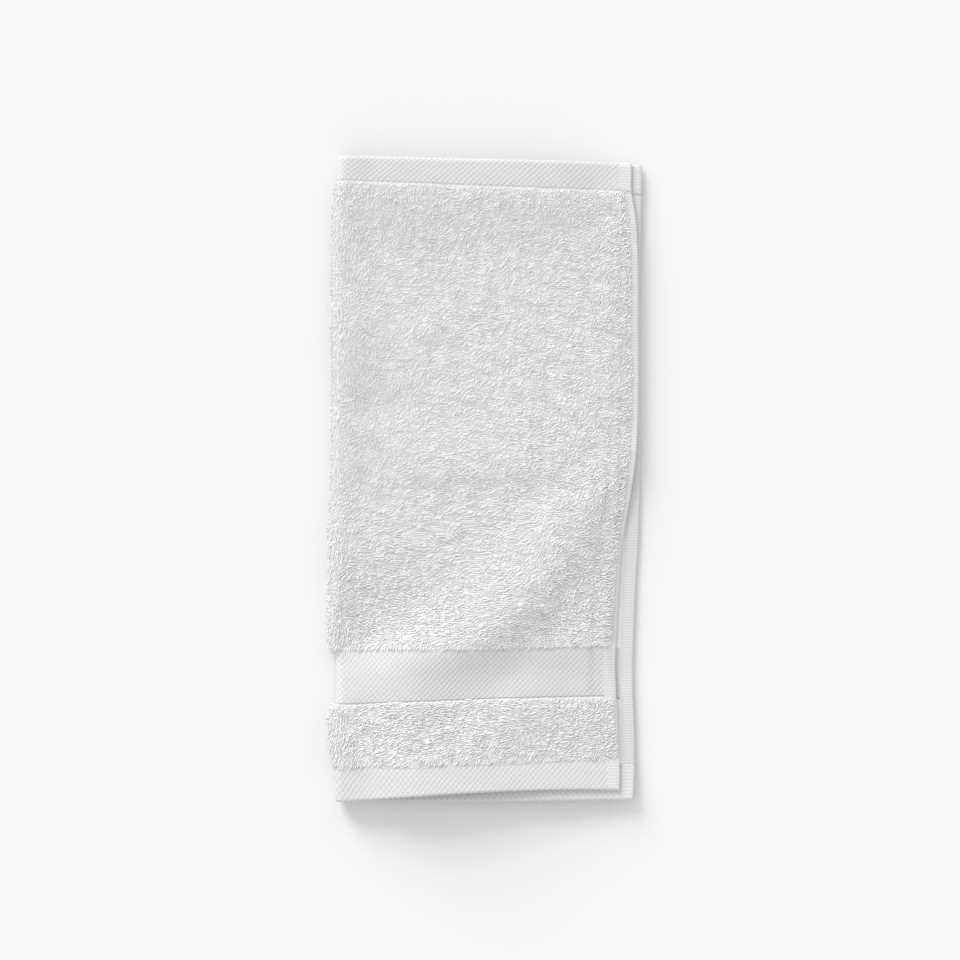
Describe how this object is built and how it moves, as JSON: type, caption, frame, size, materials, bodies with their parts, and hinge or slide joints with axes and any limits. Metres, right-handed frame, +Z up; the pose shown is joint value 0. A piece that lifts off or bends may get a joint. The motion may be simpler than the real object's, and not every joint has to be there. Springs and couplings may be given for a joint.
{
  "type": "folded washcloth",
  "caption": "Terry washcloth with a flat woven border near one end and turned hems, folded in half lengthwise and lying on its lower layer.",
  "frame": {"origin": "bottom centre of the folded cloth's box", "axes": "+Y along the cloth's length away from the bordered end, +X from the fold to the free side edges, +Z up"},
  "size_m": [0.1618, 0.3296, 0.0181],
  "materials": {
    "white_terry": "matt white cotton terry with an uneven pile, and a fine woven border and hems with no pile"
  },
  "bodies": {
    "root": {"washcloth": "white_terry"}
  },
  "joints": []
}
